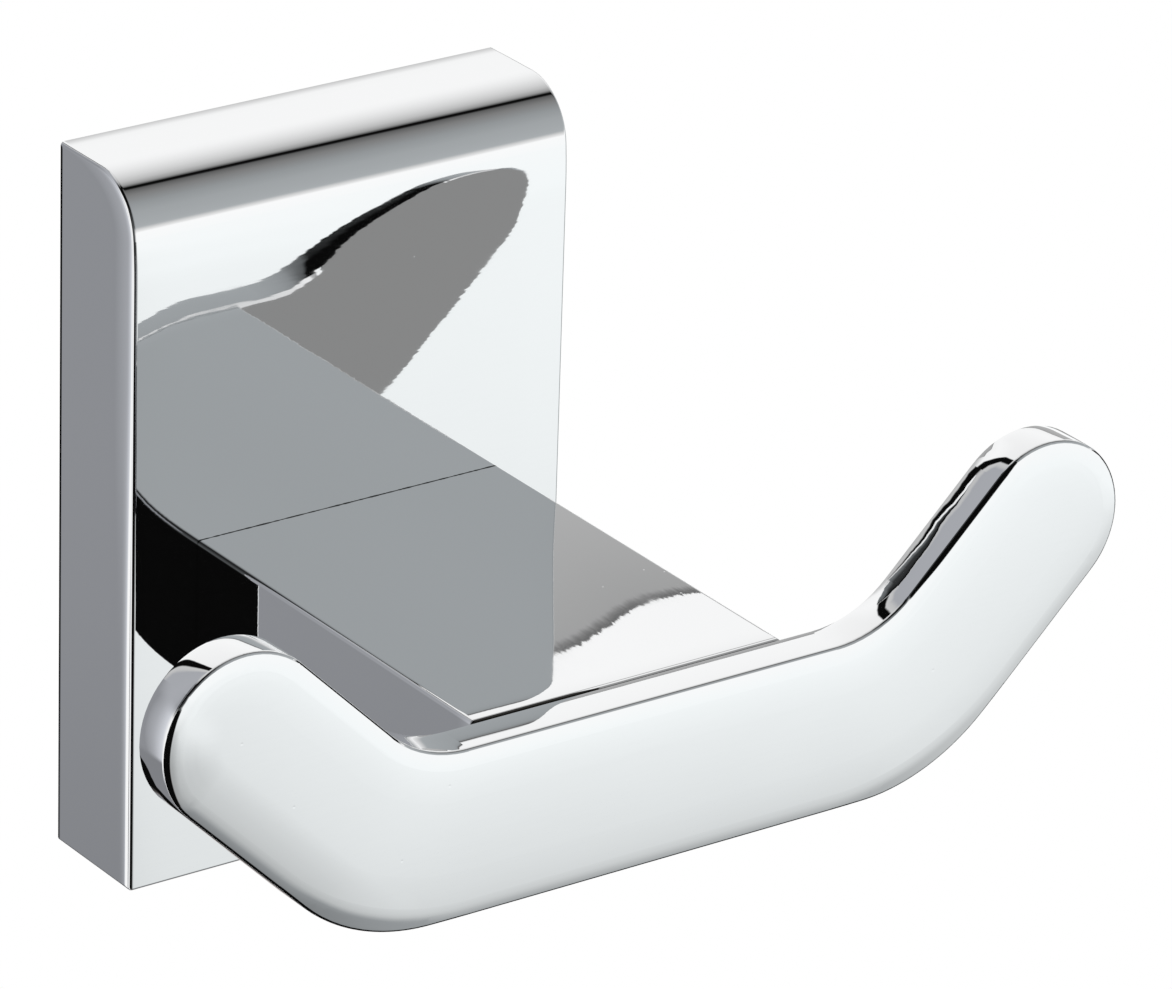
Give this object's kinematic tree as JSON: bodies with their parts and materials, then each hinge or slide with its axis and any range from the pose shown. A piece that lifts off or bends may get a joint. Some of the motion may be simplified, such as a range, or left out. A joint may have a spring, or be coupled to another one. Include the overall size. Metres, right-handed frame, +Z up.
{
  "type": "wardrobe hook",
  "caption": "Double wardrobe hook: a hollow rectangular wall rose with a rounded top edge, a flat arm and a strip with a rolled-over front and two upturned round ends, on a concealed wall bracket.",
  "frame": {"origin": "on the wall plane, at the middle of the wall rose's back", "axes": "+X along the hook bar, +Y into the wall, +Z up"},
  "size_m": [0.0952, 0.0576, 0.0654],
  "materials": {
    "rose_chrome": "mirror polished plating",
    "arm_chrome": "mirror polished plating",
    "bar_chrome": "mirror polished plating",
    "bracket_steel": "zinc plated, dull",
    "grub_steel": "plain stainless",
    "screw_steel": "zinc plated",
    "washer_steel": "zinc plated"
  },
  "bodies": {
    "root": {"wall_rose": "rose_chrome", "arm": "arm_chrome", "hook_bar": "bar_chrome", "wall_bracket": "bracket_steel", "grub_screw": "grub_steel", "arm_screws": "screw_steel", "lock_washers": "washer_steel"}
  },
  "joints": []
}
